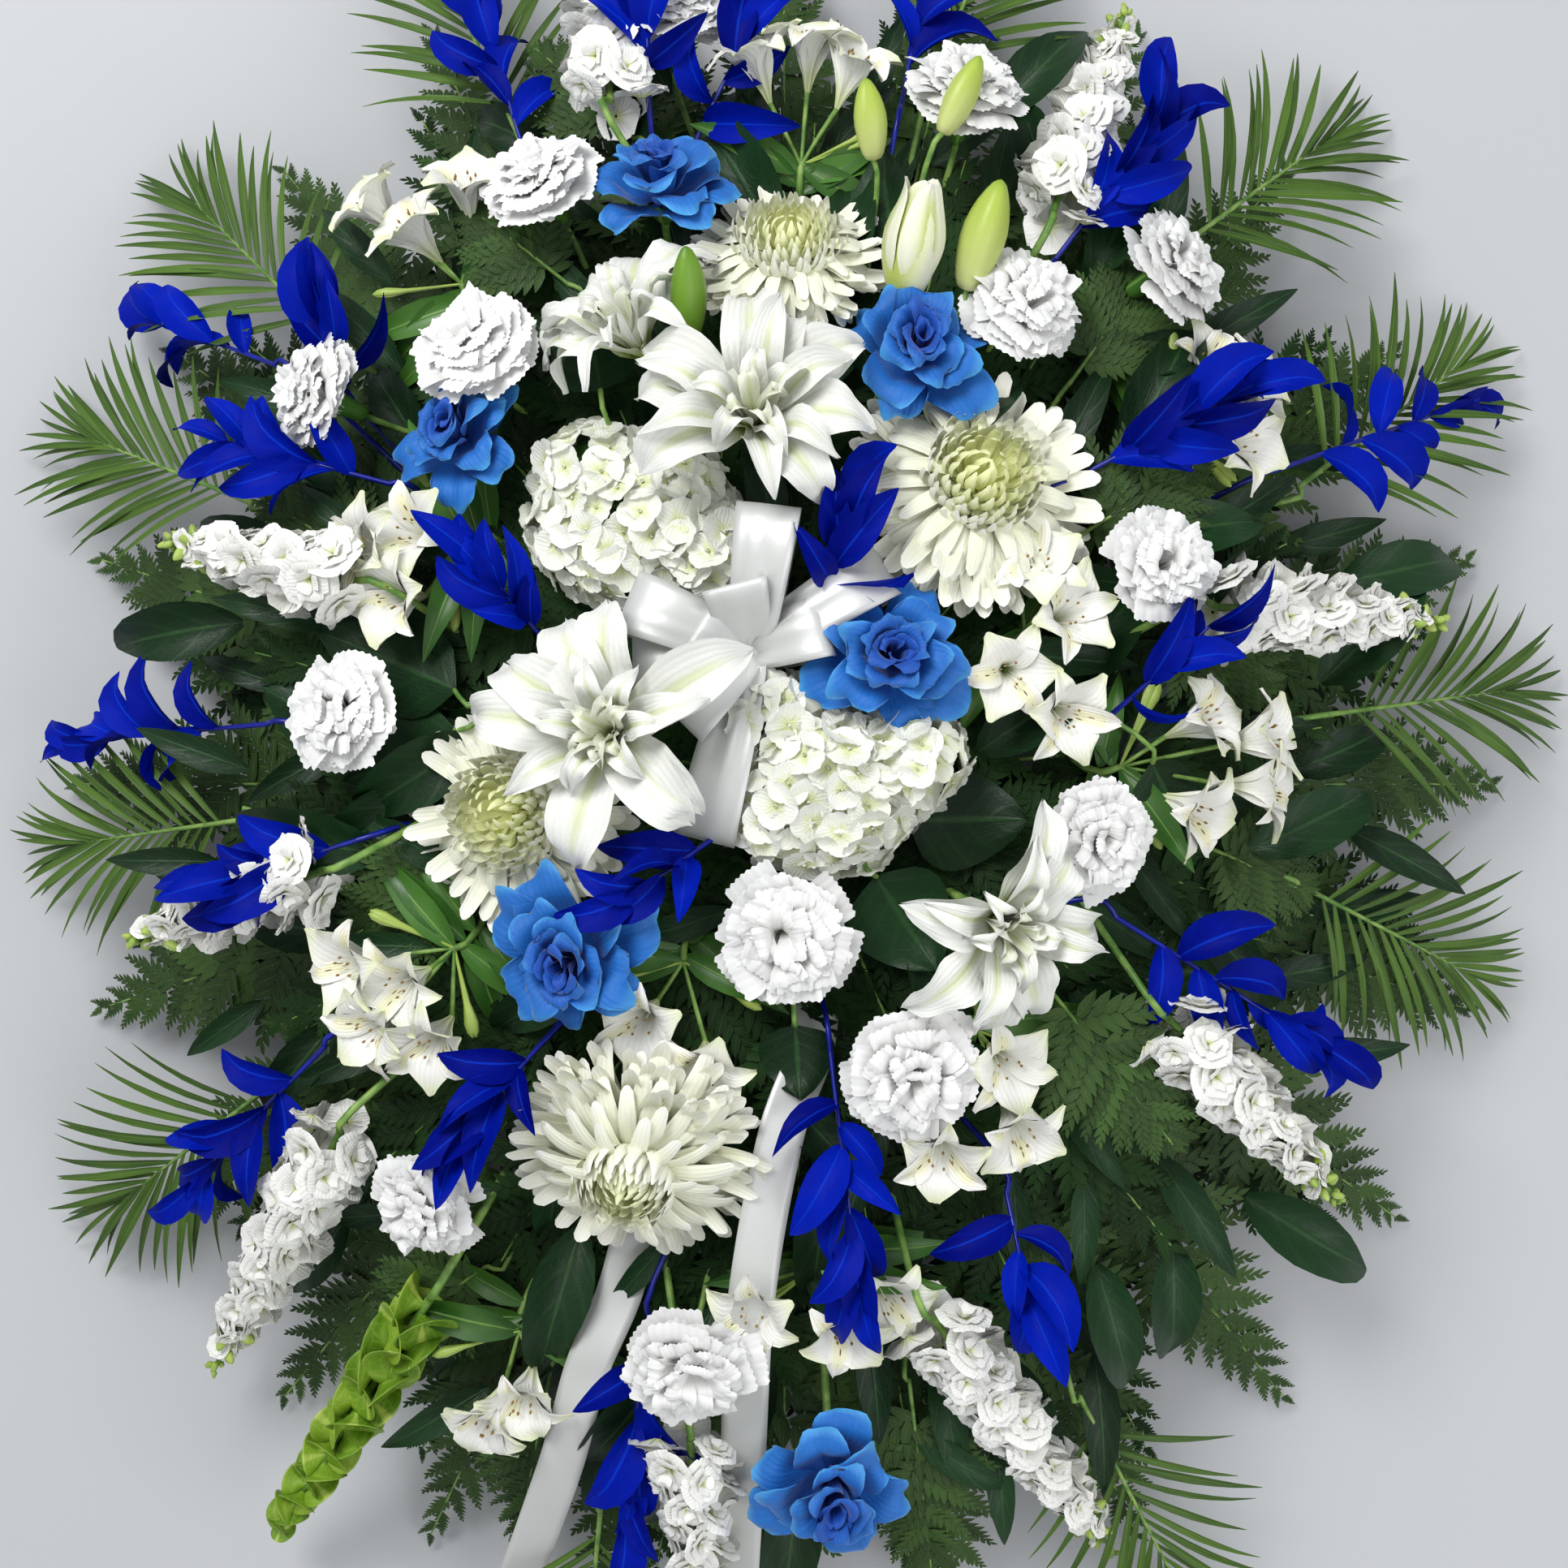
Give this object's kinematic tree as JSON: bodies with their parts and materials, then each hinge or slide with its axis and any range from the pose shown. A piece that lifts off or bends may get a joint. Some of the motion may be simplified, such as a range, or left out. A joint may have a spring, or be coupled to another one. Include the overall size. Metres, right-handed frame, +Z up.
{
  "type": "funeral flower spray",
  "caption": "Spray of white and blue flowers with greens and a satin bow, its stems set in wet foam in a flat-backed holder.",
  "frame": {"origin": "middle of the flat back of the holder, on the surface that the spray lies on", "axes": "+Z up out of the flowers' faces, +Y towards the top of the spray, +X to its right as it is looked at"},
  "size_m": [0.9782, 1.2073, 0.2817],
  "materials": {
    "holder": "satin moulded dark green",
    "foam": "wet fine-celled green flower foam",
    "lily_petal": "soft waxy white petal, green towards the throat",
    "bud_green": "smooth yellow-green bud",
    "mum_petal": "soft cream petal, green-yellow at the heart",
    "hydrangea_petal": "soft creamy white floret",
    "rose_petal": "velvety dyed azure petal",
    "carnation_petal": "soft fringed white petal",
    "satin": "smooth glossy white satin weave",
    "alstroemeria_petal": "soft white petal, streaked and flecked",
    "stock_petal": "soft ruffled white floret, green tip",
    "painted_ruscus": "royal blue painted leaf, satin gloss",
    "bells_green": "papery yellow-green bell",
    "broad_leaf": "leathery dark green leaf with a net of veins",
    "fern_green": "leathery dark green frond",
    "palm_green": "smooth green leaflet"
  },
  "bodies": {
    "root": {"holder_tray": "holder", "holder_cage": "holder", "foam_block": "foam", "lily_1": "lily_petal", "lily_2": "lily_petal", "lily_3": "lily_petal", "lily_4": "lily_petal", "lily_buds_1": "bud_green", "lily_buds_2": "bud_green", "mum_1": "mum_petal", "mum_2": "mum_petal", "mum_3": "mum_petal", "mum_4": "mum_petal", "hydrangea_1": "hydrangea_petal", "hydrangea_2": "hydrangea_petal", "rose_1": "rose_petal", "rose_2": "rose_petal", "rose_3": "rose_petal", "rose_4": "rose_petal", "rose_5": "rose_petal", "rose_6": "rose_petal", "carnations_1": "carnation_petal", "carnations_2": "carnation_petal", "carnations_3": "carnation_petal", "carnations_4": "carnation_petal", "carnations_5": "carnation_petal", "carnations_6": "carnation_petal", "ribbon_bow": "satin", "ribbon_tails": "satin", "alstroemeria_1": "alstroemeria_petal", "alstroemeria_2": "alstroemeria_petal", "alstroemeria_3": "alstroemeria_petal", "alstroemeria_4": "alstroemeria_petal", "alstroemeria_5": "alstroemeria_petal", "alstroemeria_6": "alstroemeria_petal", "alstroemeria_7": "alstroemeria_petal", "stock_1": "stock_petal", "stock_2": "stock_petal", "stock_3": "stock_petal", "stock_4": "stock_petal", "stock_5": "stock_petal", "ruscus_1": "painted_ruscus", "ruscus_2": "painted_ruscus", "ruscus_3": "painted_ruscus", "ruscus_4": "painted_ruscus", "ruscus_5": "painted_ruscus", "ruscus_6": "painted_ruscus", "ruscus_7": "painted_ruscus", "ruscus_8": "painted_ruscus", "bells_of_ireland": "bells_green", "broad_leaves_1": "broad_leaf", "broad_leaves_2": "broad_leaf", "ferns_1": "fern_green", "ferns_2": "fern_green", "ferns_3": "fern_green", "ferns_4": "fern_green", "palms_1": "palm_green", "palms_2": "palm_green", "palms_3": "palm_green", "palms_4": "palm_green"}
  },
  "joints": []
}
